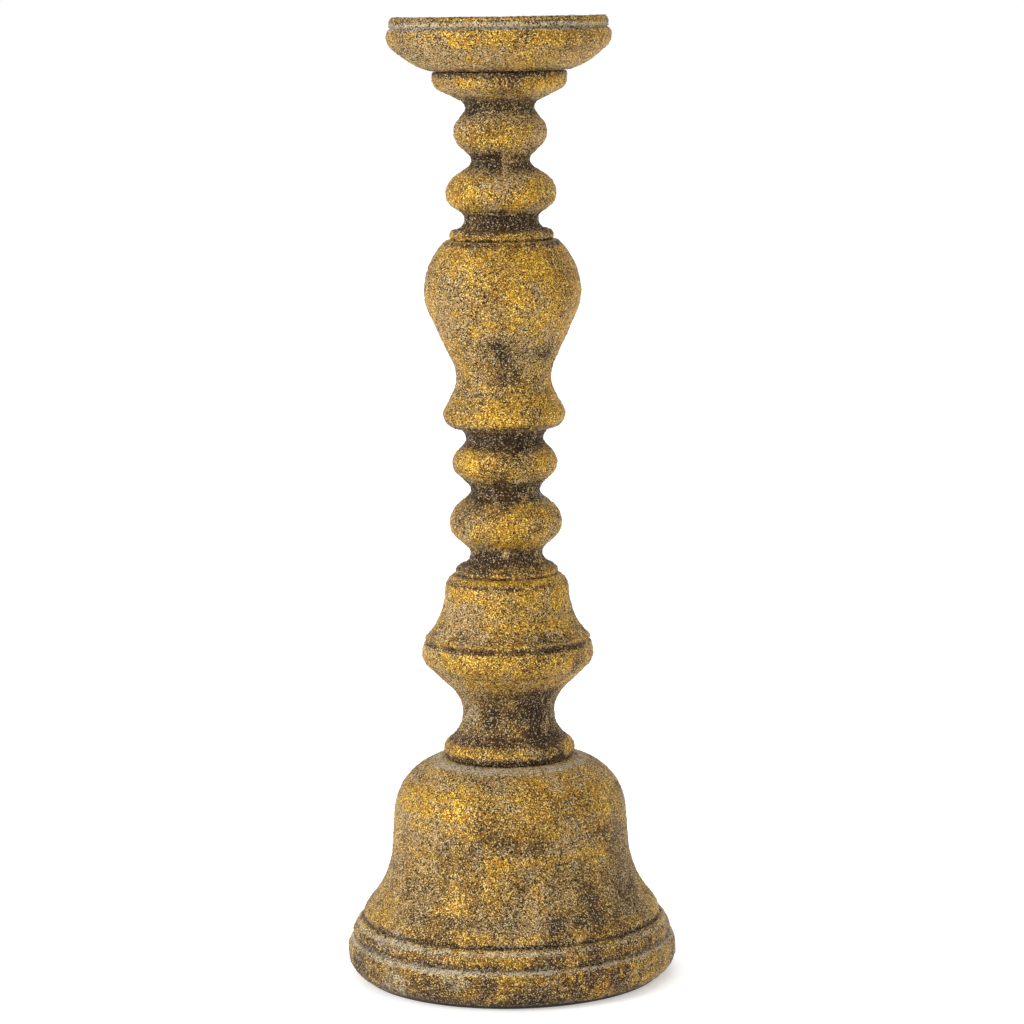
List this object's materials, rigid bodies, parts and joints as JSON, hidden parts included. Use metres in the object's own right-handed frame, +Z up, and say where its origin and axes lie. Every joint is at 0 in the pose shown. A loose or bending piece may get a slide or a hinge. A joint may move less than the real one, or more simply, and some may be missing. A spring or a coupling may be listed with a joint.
{
  "type": "altar candlestick",
  "caption": "Turned altar candlestick of stacked hollow cast sections on a tie rod, with a bell base, urn knop, loose drip dish and short pricket.",
  "frame": {"origin": "middle of the ring the candlestick stands on, at the level of the table", "axes": "+Z up along the stem axis; the stem is round, so X and Y are free"},
  "size_m": [0.1386, 0.1386, 0.4],
  "materials": {
    "antique_gilt": "sand-cast brass with a gritty antique gold finish, rubbed bright on the high places and dark in the coves",
    "steel": "zinc plated",
    "bare_brass": "turned and left bare",
    "leather": "dark tanned leather",
    "felt": "pressed wool felt",
    "black_steel": "black painted sheet steel"
  },
  "bodies": {
    "stand": {"standing_ring": "felt", "cover_plate": "black_steel", "cover_screws": "steel", "bell_base": "antique_gilt", "neck": "antique_gilt", "bell_knop": "antique_gilt", "lower_bead": "antique_gilt", "middle_bead": "antique_gilt", "urn_knop": "antique_gilt", "shoulder_bead": "antique_gilt", "upper_bead": "antique_gilt", "dish_collar": "antique_gilt", "dish_seat_ring": "leather", "pricket": "bare_brass", "collar_nut": "steel", "collar_washer": "steel", "tie_rod": "steel", "clamp_plate": "steel", "base_washer": "steel", "spring_washer": "steel", "base_nut": "steel"},
    "dish": {"drip_dish": "antique_gilt"}
  },
  "joints": [
    {"name": "dish_lift", "type": "slide", "parent": "stand", "child": "dish", "axis": [0, 0, 1], "range_m": [0, 0.03]}
  ]
}
